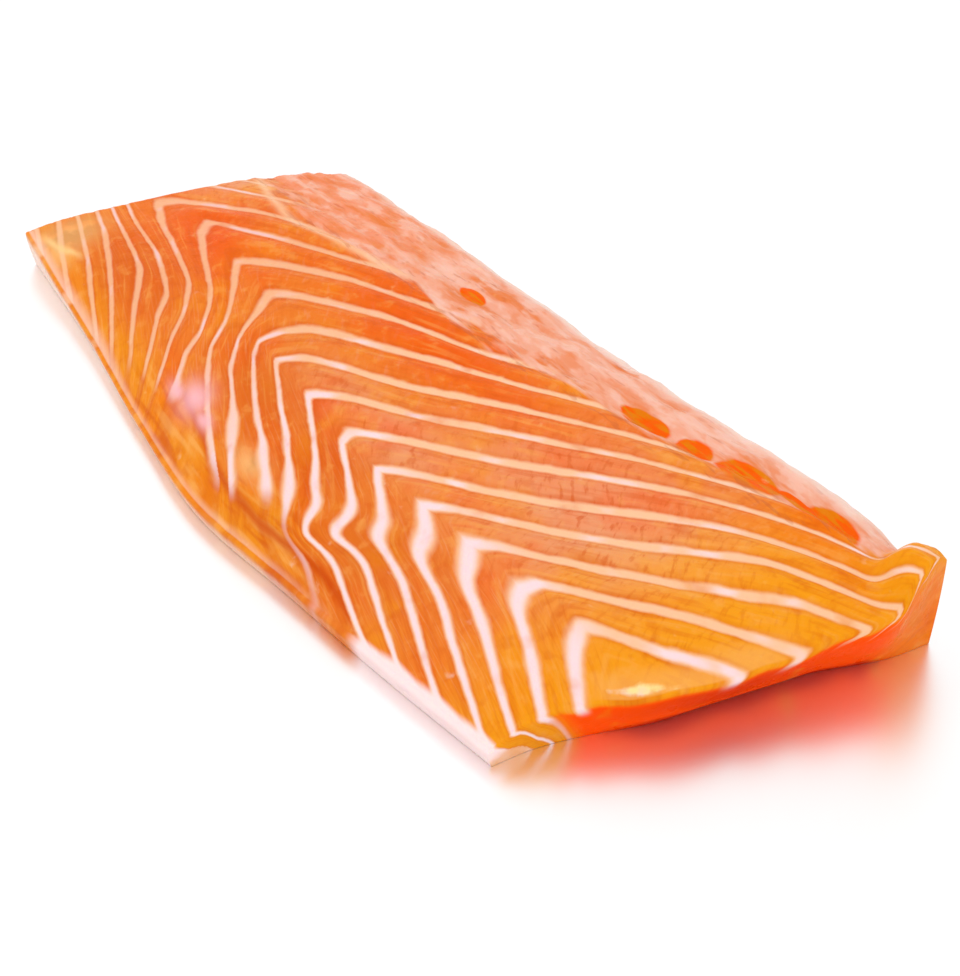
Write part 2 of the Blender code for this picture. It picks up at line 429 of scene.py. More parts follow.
    def flake_relief(self, x: np.ndarray, s: np.ndarray, t: np.ndarray) -> np.ndarray:
        """Flakes bulge between the lines, each line is a shallow crease, and fibres ripple.

        Args:
            x: Places along the piece in millimetres.
            s: The same places as shares of the length.
            t: Places across the piece.

        Returns:
            Height of the relief in millimetres.
        """
        phase = self.lines.phase(x, t)
        fade = np.clip(t / self.bulge_fade_t, 0, 1) * np.clip(s / self.bulge_fade_s, 0, 1)
        bulge = self.flake_bulge * (0.5 - 0.5 * np.cos(2 * np.pi * phase)) * fade
        to_line = np.abs(phase - np.round(phase))
        crease = self.line_crease * bell(to_line, 0, self.line_crease_width)
        fibre_u = phase * self.fibres_per_flake
        fibre_v = t * self.fibres_across
        fibres = self.fibres.layered(fibre_u, fibre_v, self.fibre_layers)
        return bulge - crease + self.fibre_relief * fibres

    def strip_relief(self, x: np.ndarray, y: np.ndarray, t: np.ndarray) -> np.ndarray:
        """Coarse grain and finer shreds of the strip of fat, less its pits.

        Args:
            x: Places along the piece in millimetres.
            y: Places across the piece in millimetres.
            t: The same places as shares of the breadth.

        Returns:
            Height of the relief in millimetres.
        """
        grain = self.strip_grain.at(x / self.strip_grain_length, y / self.strip_grain_width)
        shred_u = x / self.shred_length
        shred_v = y / self.shred_width
        shreds = self.strip_shreds.layered(shred_u, shred_v, self.shred_layers)
        pits = np.sum([pit.share(x, t) for pit in self.pits], axis=0)
        return self.strip_roughness * grain + self.shred_height * shreds - self.pit_depth * pits

    def surface(self, s: np.ndarray, t: np.ndarray) -> np.ndarray:
        """Points of the flesh's surface: the smooth height, and the relief of flank and strip.

        Args:
            s: Places along the piece.
            t: Places across the piece.

        Returns:
            Points in millimetres.
        """
        x, y = self.plan(s, t)
        strip = self.strip_share(s, t)
        relief = (1 - strip) * self.flake_relief(x, s, t) + strip * self.strip_relief(x, y, t)
        return np.stack([x, y, self.smooth_height(s, t) + relief], axis=-1)


class Zone(IntEnum):
    """The three parts of the fillet's skin."""

    TOP = 0
    WALL = 1
    UNDERSIDE = 2


@dataclass(frozen=True)
class Coat:
    """A colour laid where a value is past a start, up to its strength at the full level."""

    colour: tuple[float, ...]
    start: float
    full: float
    strength: float


@dataclass
class Shader:
    """Short calls that add and link the nodes of one material."""

    material: bpy.types.Material

    def __post_init__(self) -> None:
        """Start from the material's own Principled shader."""
        self.material.use_nodes = True
        self.tree = self.material.node_tree
        self.principled = self.tree.nodes["Principled BSDF"]

    def set(self, socket: bpy.types.NodeSocket, value: object) -> None:
        """Link a socket's value into an input, or set a plain number or colour on it.

        Args:
            socket: The input.
            value: A socket to link, or a plain number or colour.
        """
        if isinstance(value, bpy.types.NodeSocket):
            self.tree.links.new(value, socket)
        else:
            socket.default_value = value

    def math(self, operation: str, *values: object) -> bpy.types.NodeSocket:
        """Result of a math node.

        Args:
            operation: Blender's name of the operation.
            values: Numbers or sockets, in the order of the node's inputs.

        Returns:
            The node's output.
        """
        node = self.tree.nodes.new("ShaderNodeMath")
        node.operation = operation
        for socket, value in zip(node.inputs, values):
            self.set(socket, value)
        return node.outputs[0]

    def step(self, value: object, low: object, high: object) -> bpy.types.NodeSocket:
        """Smooth step from 0 at low to 1 at high, which may also fall, with low above high.

        Args:
            value: What the step is read at.
            low: Where it is 0.
            high: Where it is 1.

        Returns:
            The step.
        """
        node = self.tree.nodes.new("ShaderNodeMapRange")
        node.interpolation_type = "SMOOTHSTEP"
        for name, given in (("Value", value), ("From Min", low), ("From Max", high)):
            self.set(node.inputs[name], given)
        return node.outputs[0]

    def mix(self, share: object, first: object, second: object) -> bpy.types.NodeSocket:
        """Colour between two, first at share 0 and second at share 1.

        Args:
            share: Share of the second colour.
            first: The first colour.
            second: The second colour.

        Returns:
            The mixed colour.
        """
        node = self.tree.nodes.new("ShaderNodeMix")
        node.data_type = "RGBA"
        self.set(node.inputs["Factor"], share)
        colours = [socket for socket in node.inputs if socket.type == "RGBA"]
        self.set(colours[0], first)
        self.set(colours[1], second)
        return next(socket for socket in node.outputs if socket.type == "RGBA")

    def lay(
        self, colour: object, over: object, share: object, strength: object
    ) -> bpy.types.NodeSocket:
        """The colour with another laid over it, by a share from 0 to 1 times a strength."""
        return self.mix(self.math("MULTIPLY", share, strength), colour, over)

    def coat(self, colour: object, value: object, coat: Coat) -> bpy.types.NodeSocket:
        """The colour with a coat laid over it by how far the value is past the coat's start."""
        return self.lay(colour, coat.colour, self.step(value, coat.start, coat.full), coat.strength)

    def attribute(self, name: str) -> bpy.types.NodeSocket:
        """The mesh's own value of that name.

        Args:
            name: The value's name on the mesh.

        Returns:
            The value.
        """
        node = self.tree.nodes.new("ShaderNodeAttribute")
        node.attribute_name = name
        return node.outputs["Fac"]

    def place(self) -> bpy.types.NodeSocket:
        """Object coordinates, in metres."""
        return self.tree.nodes.new("ShaderNodeTexCoord").outputs["Object"]

    def vector(self, x: object, y: object, z: object = 0.0) -> bpy.types.NodeSocket:
        """A vector from three numbers or sockets.

        Args:
            x: The vector's first part.
            y: Its second part.
            z: Its third part.

        Returns:
            The vector.
        """
        node = self.tree.nodes.new("ShaderNodeCombineXYZ")
        for socket, value in zip(node.inputs, (x, y, z)):
            self.set(socket, value)
        return node.outputs[0]

    def stretch(self, vector: object, x: float, y: float, z: float) -> bpy.types.NodeSocket:
        """The vector with each part multiplied by its own factor.

        Args:
            vector: The vector.
            x: Factor of its first part.
            y: Factor of its second part.
            z: Factor of its third part.

        Returns:
            The stretched vector.
        """
        node = self.tree.nodes.new("ShaderNodeVectorMath")
        node.operation = "MULTIPLY"
        self.set(node.inputs[0], vector)
        node.inputs[1].default_value = (x, y, z)
        return node.outputs["Vector"]

    def noise(self, vector: object, scale: float, detail: float = 2.0) -> bpy.types.NodeSocket:
        """Noise between 0 and 1, about 0.5 on average.

        Args:
            vector: Where to read the noise.
            scale: Waves to each unit of the vector.
            detail: How many finer layers it has.

        Returns:
            The noise.
        """
        node = self.tree.nodes.new("ShaderNodeTexNoise")
        self.set(node.inputs["Vector"], vector)
        node.inputs["Scale"].default_value = scale
        node.inputs["Detail"].default_value = detail
        return node.outputs["Fac"]

    def about_zero(self, noise: object) -> bpy.types.NodeSocket:
        """Noise less its average of 0.5."""
        return self.math("SUBTRACT", noise, 0.5)

    def pattern(self, first: object, second: object, scales: Scales) -> bpy.types.NodeSocket:
        """Noise over two values of the mesh.

        Args:
            first: The first value.
            second: The second value.
            scales: The first value's scale, the second's, and the layers of detail.

        Returns:
            The noise.
        """
        first_scale, second_scale, detail = scales
        u = self.math("MULTIPLY", first, first_scale)
        v = self.math("MULTIPLY", second, second_scale)
        return self.noise(self.vector(u, v), 1, detail)

    def bump(self, height: object, distance: float, strength: float) -> None:
        """Bump the shader's normal by a height between 0 and 1 that stands for a real distance.

        Args:
            height: The height, 0 to 1.
            distance: How far 1 stands out, in metres.
            strength: How much of the bump shows, 0 to 1.
        """
        node = self.tree.nodes.new("ShaderNodeBump")
        node.inputs["Strength"].default_value = strength
        node.inputs["Distance"].default_value = distance
        self.set(node.inputs["Height"], height)
        self.set(self.principled.inputs["Normal"], node.outputs["Normal"])


STUDIO_LIGHT = 1.15


def tint(red: float, green: float, blue: float) -> tuple[float, float, float, float]:
    """Surface colour that shows as this sRGB screen colour, 0 to 255, in the studio's light.

    Args:
        red: The screen colour's red.
        green: Its green.
        blue: Its blue.

    Returns:
        The surface's linear red, green and blue, and 1 for opaque.
    """
    shares = np.array([red, green, blue]) / 255
    linear = np.where(shares <= 0.04045, shares / 12.92, ((shares + 0.055) / 1.055) ** 2.4)
    surface = linear / STUDIO_LIGHT
    return (float(surface[0]), float(surface[1]), float(surface[2]), 1.0)


@dataclass(frozen=True)
class FleshFinish:
    """Wet raw salmon: orange flakes, pale fat between them, and a pink strip of back fat.

    Noise in space is given as waves to the metre and layers of detail. Noise over two values of
    the mesh is given as the two values' scales and layers of detail. Either averages 0.5.
    """

    flesh: tuple[float, ...] = tint(239, 128, 42)
    red_flesh: tuple[float, ...] = tint(243, 91, 12)
    golden_flesh: tuple[float, ...] = tint(248, 160, 18)
    milky_flesh: tuple[float, ...] = tint(240, 162, 116)
    dark_flesh: tuple[float, ...] = tint(214, 84, 12)
    light_flesh: tuple[float, ...] = tint(251, 177, 90)
    fold_flesh: tuple[float, ...] = tint(206, 72, 6)
    peach_fat: tuple[float, ...] = tint(254, 199, 156)
    pink_fat: tuple[float, ...] = tint(254, 222, 224)
    strip_fat: tuple[float, ...] = tint(245, 170, 140)
    strip_far: tuple[float, ...] = tint(246, 151, 113)
    strip_pale: tuple[float, ...] = tint(250, 198, 178)
    strip_stain: tuple[float, ...] = tint(236, 124, 56)
    strip_dash: tuple[float, ...] = tint(196, 96, 58)
    strip_edge: tuple[float, ...] = tint(252, 228, 216)
    pit_flesh: tuple[float, ...] = tint(250, 96, 2)
    pit_gold: tuple[float, ...] = tint(234, 128, 8)
    cut_flesh: tuple[float, ...] = tint(268, 84, 0)
    # Painted contact shadow: the dark red laid low on the near cut and along its foot.
    painted_foot_shade: tuple[float, ...] = tint(206, 34, 0)
    membrane: tuple[float, ...] = tint(263, 232, 230)
    blush: tuple[float, ...] = tint(253, 188, 196)
    # Pale hem of the thin edge; low on its wall it is also painted light against the shade at the
    # foot.
    hem: tuple[float, ...] = tint(258, 224, 208)
    corner: tuple[float, ...] = tint(250, 182, 112)
    corner_stain: tuple[float, ...] = tint(212, 146, 84)
    wedge: tuple[float, ...] = tint(255, 208, 140)
    glint: tuple[float, ...] = tint(255, 232, 158)
    glint_pink: tuple[float, ...] = tint(250, 214, 202)

    tone_step: float = 3.7
    tone_scales: Scales = (1, 4, 1)
    red_flakes: Coat = Coat(red_flesh, 0.5, 0.7, 0.55)
    mottle: tuple[float, float] = (80, 3)
    red_clouds: Coat = Coat(red_flesh, 0.5, 0.72, 0.45)
    golden_clouds: Coat = Coat(golden_flesh, 0.5, 0.3, 0.45)
    fibre_slant: float = 8
    fibre_pitch: float = 105
    fibre_scales: Scales = (2.4, 1, 3)
    milky_fibres: Coat = Coat(milky_flesh, 0.48, 0.3, 0.35)
    stroke_levels: tuple[float, float] = (0.52, 0.68)
    stroke_strength: float = 0.14
    milky_stroke_strength: float = 0.4
    layer_scales: Scales = (4.5, 9, 2)
    dark_layers: Coat = Coat(dark_flesh, 0.52, 0.68, 0.3)
    light_layers: Coat = Coat(light_flesh, 0.46, 0.3, 0.3)
    grain: tuple[float, float] = (300, 3)
    dark_grain: Coat = Coat(dark_flesh, 0.54, 0.72, 0.28)
    light_grain: Coat = Coat(light_flesh, 0.46, 0.28, 0.3)
    line_shadow: Coat = Coat(dark_flesh, 0.26, 0.14, 0.28)
    area_strength: float = 0.9
    dusk_strength: float = 0.5

    streak_scales: Scales = (0.55, 40, 1.5)
    light_streaks: tuple[float, float] = (0.48, 0.36)
    dark_streaks: tuple[float, float] = (0.52, 0.66)
    streak_strength: float = 0.6
    fold_strength: float = 0.8

    wander: tuple[float, float] = (130, 3)
    wander_reach: float = 0.12
    ragged: tuple[float, float] = (330, 3)
    ragged_reach: float = 0.08
    line_edge: tuple[float, float] = (1.45, 0.5)
    core_edge: tuple[float, float] = (1, 0.2)
    gaps: tuple[float, float] = (120, 3)
    gap_levels: tuple[float, float] = (0.24, 0.42)
    gap_strength: float = 0.5
    pink_clouds: tuple[float, float] = (95, 2)
    pink_levels: tuple[float, float] = (0.5, 0.7)

    cloud_scales: Scales = (0.55, 22, 3)
    pale_clouds: Coat = Coat(strip_pale, 0.52, 0.68, 0.7)
    stain_clouds: Coat = Coat(strip_stain, 0.47, 0.33, 0.8)
    dash_scales: Scales = (1.7, 60, 2)
    dashes: Coat = Coat(strip_dash, 0.6, 0.72, 0.4)
    fleck_stretch: Scales = (150, 330, 330)
    fleck_detail: float = 3
    pale_flecks: Coat = Coat(strip_pale, 0.5, 0.64, 0.6)
    stain_flecks: Coat = Coat(strip_stain, 0.47, 0.34, 0.5)
    pit_tear: float = 0.45
    pit_edge: tuple[float, float] = (0.3, 0.44)
    pit_flecks: tuple[float, float] = (0.42, 0.6)
    strip_tear: float = 3
    strip_levels: tuple[float, float] = (0.1, 0.9)
    # Dark dashes along the strip's border: painted shade of the grooves between strip and flakes.
    border_outside: tuple[float, float] = (-0.9, 0.1)
    border_inside: tuple[float, float] = (1.1, 0.3)
    border_dashes: Coat = Coat(strip_dash, 0.54, 0.62, 0.4)

    blotch: tuple[float, float] = (170, 2)
    cut_levels: tuple[float, float] = (0.2, 0.45)
    stain_levels: tuple[float, float] = (0.5, 0.62)
    corner_stain_strength: float = 0.7
    rim_light_strength: float = 0.6
    rim_wave: float = 0.9
    rim_levels: tuple[float, float] = (1.75, 0.6)
    shine: tuple[float, float] = (260, 4)
    shine_tear: float = 2.2
    shine_levels: tuple[float, float] = (0.35, 1.0)
    shine_strength: float = 0.95
    pink_shine_levels: tuple[float, float] = (0.45, 0.6)
    underside_strength: float = 0.7

    roughness: float = 0.3
    gloss: tuple[float, float] = (220, 3)
    gloss_change: float = 0.3
    specular: float = 0.02
    subsurface: float = 0.12
    subsurface_reach: float = 0.0015
    subsurface_radius: tuple[float, float, float] = (1.0, 0.3, 0.1)
    pores: tuple[float, float] = (900, 4)
    pore_share: float = 0.5
    dimples: tuple[float, float] = (260, 3)
    bump_distance: float = 0.0004
    bump_strength: float = 0.5

    def flakes(self, shader: Shader, phase: object, to_line: object) -> bpy.types.NodeSocket:
        """Colour of the flakes: orange, redder and more golden in places, with fibres across them.

        Args:
            shader: The material that gets the nodes.
            phase: Count of fat lines passed.
            to_line: Distance to the nearest line as a share of the spacing.

        Returns:
            The colour.
        """
        place = shader.place()
        across = shader.attribute("across")
        slant = shader.math("MULTIPLY", phase, self.fibre_slant)
        slanted = shader.math("MULTIPLY_ADD", across, self.fibre_pitch, slant)
        fibres = shader.pattern(phase, slanted, self.fibre_scales)
        layers = shader.pattern(phase, across, self.layer_scales)
        number = shader.math("MULTIPLY", shader.math("FLOOR", phase), self.tone_step)
        tone = shader.pattern(number, across, self.tone_scales)
        mottle = shader.noise(place, *self.mottle)
        grain = shader.noise(place, *self.grain)
        colour = shader.mix(shader.attribute("milky"), self.flesh, self.milky_flesh)
        colour = shader.coat(colour, tone, self.red_flakes)
        colour = shader.coat(colour, mottle, self.red_clouds)
        colour = shader.coat(colour, mottle, self.golden_clouds)
        colour = shader.coat(colour, fibres, self.milky_fibres)
        colour = shader.lay(colour, self.red_flesh, shader.attribute("red"), self.area_strength)
        colour = shader.lay(colour, self.golden_flesh, shader.attribute("gold"), self.area_strength)
        colour = shader.lay(colour, self.dark_flesh, shader.attribute("dusk"), self.dusk_strength)
        milky = shader.attribute("milky")
        strength = shader.math("MULTIPLY", milky, self.milky_stroke_strength)
        strength = shader.math("ADD", strength, self.stroke_strength)
        strokes = shader.step(fibres, *self.stroke_levels)
        colour = shader.lay(colour, self.dark_flesh, strokes, strength)
        colour = shader.coat(colour, layers, self.dark_layers)
        colour = shader.coat(colour, layers, self.light_layers)
        colour = shader.coat(colour, grain, self.dark_grain)
        colour = shader.coat(colour, grain, self.light_grain)
        colour = self.flap(shader, across, colour)
        return shader.coat(colour, to_line, self.line_shadow)

    def flap(self, shader: Shader, across: object, colour: object) -> bpy.types.NodeSocket:
        """Lay the streaks of the thin flap, which run along the thin edge, and its dark fold.

        Args:
            shader: The material that gets the nodes.
            across: Place across the piece.
            colour: Colour to lay them on.

        Returns:
            The colour with them.
        """
        streaks = shader.pattern(shader.attribute("along"), across, self.streak_scales)
        flap = shader.attribute("flap")
        light = shader.math("MULTIPLY", shader.step(streaks, *self.light_streaks), flap)
        dark = shader.math("MULTIPLY", shader.step(streaks, *self.dark_streaks), flap)
        colour = shader.lay(colour, self.light_flesh, light, self.streak_strength)
        colour = shader.lay(colour, self.dark_flesh, dark, self.streak_strength)
        return shader.lay(colour, self.fold_flesh, shader.attribute("fold"), self.fold_strength)

    def fat_lines(self, shader: Shader, to_line: object, colour: object) -> bpy.types.NodeSocket:
        """Lay the fat lines over the flakes: peach, with a pink core in places.

        Args:
            shader: The material that gets the nodes.
            to_line: Distance to the nearest line as a share of the spacing.
            colour: Colour to lay them on.

        Returns:
            The colour with them.
        """
        place = shader.place()
        ragged = shader.about_zero(shader.noise(place, *self.ragged))
        width = shader.math("MULTIPLY_ADD", ragged, self.ragged_reach, shader.attribute("wide"))
        line_edge = [shader.math("MULTIPLY", width, share) for share in self.line_edge]
        core_edge = [shader.math("MULTIPLY", width, share) for share in self.core_edge]
        line = shader.step(to_line, *line_edge)
        core = shader.step(to_line, *core_edge)
        gaps = shader.step(shader.noise(place, *self.gaps), *self.gap_levels)
        unbroken = shader.math("MULTIPLY_ADD", gaps, self.gap_strength, 1 - self.gap_strength)
        strength = shader.math("MULTIPLY", shader.attribute("line"), unbroken)
        clouds = shader.step(shader.noise(place, *self.pink_clouds), *self.pink_levels)
        pinkness = shader.math("MINIMUM", shader.math("ADD", shader.attribute("pink"), clouds), 1)
        fat = shader.mix(shader.math("MULTIPLY", core, pinkness), self.peach_fat, self.pink_fat)
        return shader.lay(colour, fat, line, strength)

    def strip_colour(self, shader: Shader, clouds: object, dashes: object) -> bpy.types.NodeSocket:
        """Colour of the strip of back fat: pink, pale and stained in clouds, flecks and dashes.

        Args:
            shader: The material that gets the nodes.
            clouds: Wide noise, longer along the piece.
            dashes: Fine noise, longer along the piece.

        Returns:
            The colour, with the torn pits in it.
        """
        strip = shader.mix(shader.attribute("far"), self.strip_fat, self.strip_far)
        strip = shader.coat(strip, clouds, self.pale_clouds)
        strip = shader.coat(strip, clouds, self.stain_clouds)
        strip = shader.coat(strip, dashes, self.dashes)
        fleck_place = shader.stretch(shader.place(), *self.fleck_stretch)
        flecks = shader.noise(fleck_place, 1, self.fleck_detail)
        strip = shader.coat(strip, flecks, self.pale_flecks)
        strip = shader.coat(strip, flecks, self.stain_flecks)
        strip = shader.mix(shader.attribute("fringe"), strip, self.strip_edge)
        tear = shader.about_zero(clouds)
        torn = shader.math("MULTIPLY_ADD", tear, self.pit_tear, shader.attribute("pit"))
        pit = shader.mix(shader.step(dashes, *self.pit_flecks), self.pit_flesh, self.pit_gold)
        return shader.mix(shader.step(torn, *self.pit_edge), strip, pit)

    def back_strip(self, shader: Shader, colour: object) -> bpy.types.NodeSocket:
        """Lay the back fat strip on the flakes, with a torn border dashed with painted shade, and a
        pale seam.

        Args:
            shader: The material that gets the nodes.
            colour: Colour to lay it on.

        Returns:
            The colour with it.
        """
        along = shader.attribute("along")
        across = shader.attribute("across")
        clouds = shader.pattern(along, across, self.cloud_scales)
        dashes = shader.pattern(along, across, self.dash_scales)
        strip = self.strip_colour(shader, clouds, dashes)
        tear = shader.about_zero(clouds)
        edge = shader.math("MULTIPLY_ADD", tear, self.strip_tear, shader.attribute("strip"))
        cover = shader.step(edge, *self.strip_levels)
        colour = shader.lay(colour, strip, cover, shader.attribute("cover"))
        colour = shader.mix(shader.attribute("seam"), colour, self.peach_fat)
        # Dark dashes along the border: painted shade of the grooves between strip and flakes.
        outside = shader.step(edge, *self.border_outside)
        border = shader.math("MULTIPLY", outside, shader.step(edge, *self.border_inside))
        dashed = shader.step(dashes, self.border_dashes.start, self.border_dashes.full)
        border = shader.math("MULTIPLY", border, dashed)
        return shader.lay(colour, self.border_dashes.colour, border, self.border_dashes.strength)

    def rims(
        self, shader: Shader, blotch: object, to_line: object, colour: object
    ) -> bpy.types.NodeSocket:
        """Lay the white rim, painted glint, thin edge's hem, painted shadow at the cut's foot, and
        underside.

        Args:
            shader: The material that gets the nodes.
            blotch: Noise in space.
            to_line: Distance to the nearest fat line as a share of the spacing.
            colour: Colour to lay them on.

        Returns:
            The colour with them.
        """
        rim = shader.math("MULTIPLY_ADD", to_line, self.rim_wave, shader.attribute("rim"))
        colour = shader.mix(shader.step(rim, *self.rim_levels), colour, self.membrane)
        torn = shader.about_zero(shader.noise(shader.place(), *self.shine))
        shine = shader.math("MULTIPLY_ADD", torn, self.shine_tear, shader.attribute("glint"))
        shine = shader.step(shine, *self.shine_levels)
        pinkness = shader.step(blotch, *self.pink_shine_levels)
        glint = shader.mix(pinkness, self.glint, self.glint_pink)
        colour = shader.lay(colour, glint, shine, self.shine_strength)
        colour = shader.mix(shader.attribute("hem"), colour, self.hem)
        # Painted contact shadow on the near cut's foot and in a band low on it.
        colour = shader.mix(shader.attribute("foot"), colour, self.painted_foot_shade)
        return shader.lay(colour, self.membrane, shader.attribute("under"), self.underside_strength)

    def colour(self, shader: Shader) -> bpy.types.NodeSocket:
        """Colour of the whole skinless piece, laid on by the mesh's own shares.

        Args:
            shader: The material that gets the nodes.

        Returns:
            The colour.
        """
        place = shader.place()
        wander = shader.about_zero(shader.noise(place, *self.wander))
        phase = shader.math("MULTIPLY_ADD", wander, self.wander_reach, shader.attribute("phase"))
        to_line = shader.math("PINGPONG", phase, 0.5)
        blotch = shader.noise(place, *self.blotch)
        corner = shader.attribute("corner")
        colour = self.flakes(shader, phase, to_line)
        cut = shader.step(blotch, *self.cut_levels)
        colour = shader.lay(colour, self.cut_flesh, shader.attribute("cut"), cut)
        colour = shader.lay(colour, self.corner, corner, self.area_strength)
        stain = shader.math("MULTIPLY", corner, shader.step(blotch, *self.stain_levels))
        colour = shader.lay(colour, self.corner_stain, stain, self.corner_stain_strength)
        # Painted highlight along the near cut's upper rim.
        rim_light = shader.attribute("rim_light")
        colour = shader.lay(colour, self.light_flesh, rim_light, self.rim_light_strength)
        colour = self.fat_lines(shader, to_line, colour)
        colour = self.back_strip(shader, colour)
        colour = shader.mix(shader.attribute("wedge"), colour, self.wedge)
        colour = shader.mix(shader.attribute("blush"), colour, self.blush)
        return self.rims(shader, blotch, to_line, colour)

    def material(self) -> bpy.types.Material:
        """The finished material: the colour, a wet gloss, and a fine bump of dimples and pores.

        Returns:
            The material.
        """
        shader = Shader(bpy.data.materials.new("raw_salmon"))
        inputs = shader.principled.inputs
        shader.set(inputs["Base Color"], self.colour(shader))
        place = shader.place()
        smoothest = self.roughness - self.gloss_change / 2
        gloss = shader.noise(place, *self.gloss)
        gloss = shader.math("MULTIPLY_ADD", gloss, self.gloss_change, smoothest)
        shader.set(inputs["Roughness"], gloss)
        inputs["Specular IOR Level"].default_value = self.specular
        inputs["Subsurface Weight"].default_value = self.subsurface
        inputs["Subsurface Radius"].default_value = self.subsurface_radius
        inputs["Subsurface Scale"].default_value = self.subsurface_reach
        dimples = shader.noise(place, *self.dimples)
        pores = shader.noise(place, *self.pores)
        relief = shader.math("MULTIPLY_ADD", pores, self.pore_share, dimples)
        shader.bump(relief, self.bump_distance, self.bump_strength)
        return shader.material


@dataclass
class Skin:
    """Places on the fillet's skin, one for each vertex, and where each reads the flesh.

    On the two cuts the fat lines slant away from the chevrons' apex as they go down: a place at a
    depth reads the flesh at apex + (its own place - apex) * (1 + slant * depth).
    """

    form: FilletForm
    s: np.ndarray
    rim_t: np.ndarray
    depth: np.ndarray
    zone: np.ndarray
    apex_t: float = 0.3
    slant: float = 0.07

    def __post_init__(self) -> None:
        """Work out the places that the flesh is read at."""
        self.wall = self.zone == Zone.WALL
        self.on_cut = self.wall & ((self.s == 0) | (self.s == 1))
        self.near_cut = np.where(self.on_cut & (self.s == 1), 1.0, 0.0)
        spread = self.apex_t + (self.rim_t - self.apex_t) * (1 + self.slant * self.depth)
        self.across = np.where(self.on_cut, spread, self.rim_t)
        self.t = np.clip(self.across, 0, 1)
        self.x, _ = self.form.plan(self.s, self.t)
        self.height = self.form.smooth_height(self.s, self.rim_t) - self.depth

    def off_walls(self, share: np.ndarray) -> np.ndarray:
        """The share on the top and the underside, and 0 on the walls."""
        return np.where(self.wall, 0, share)


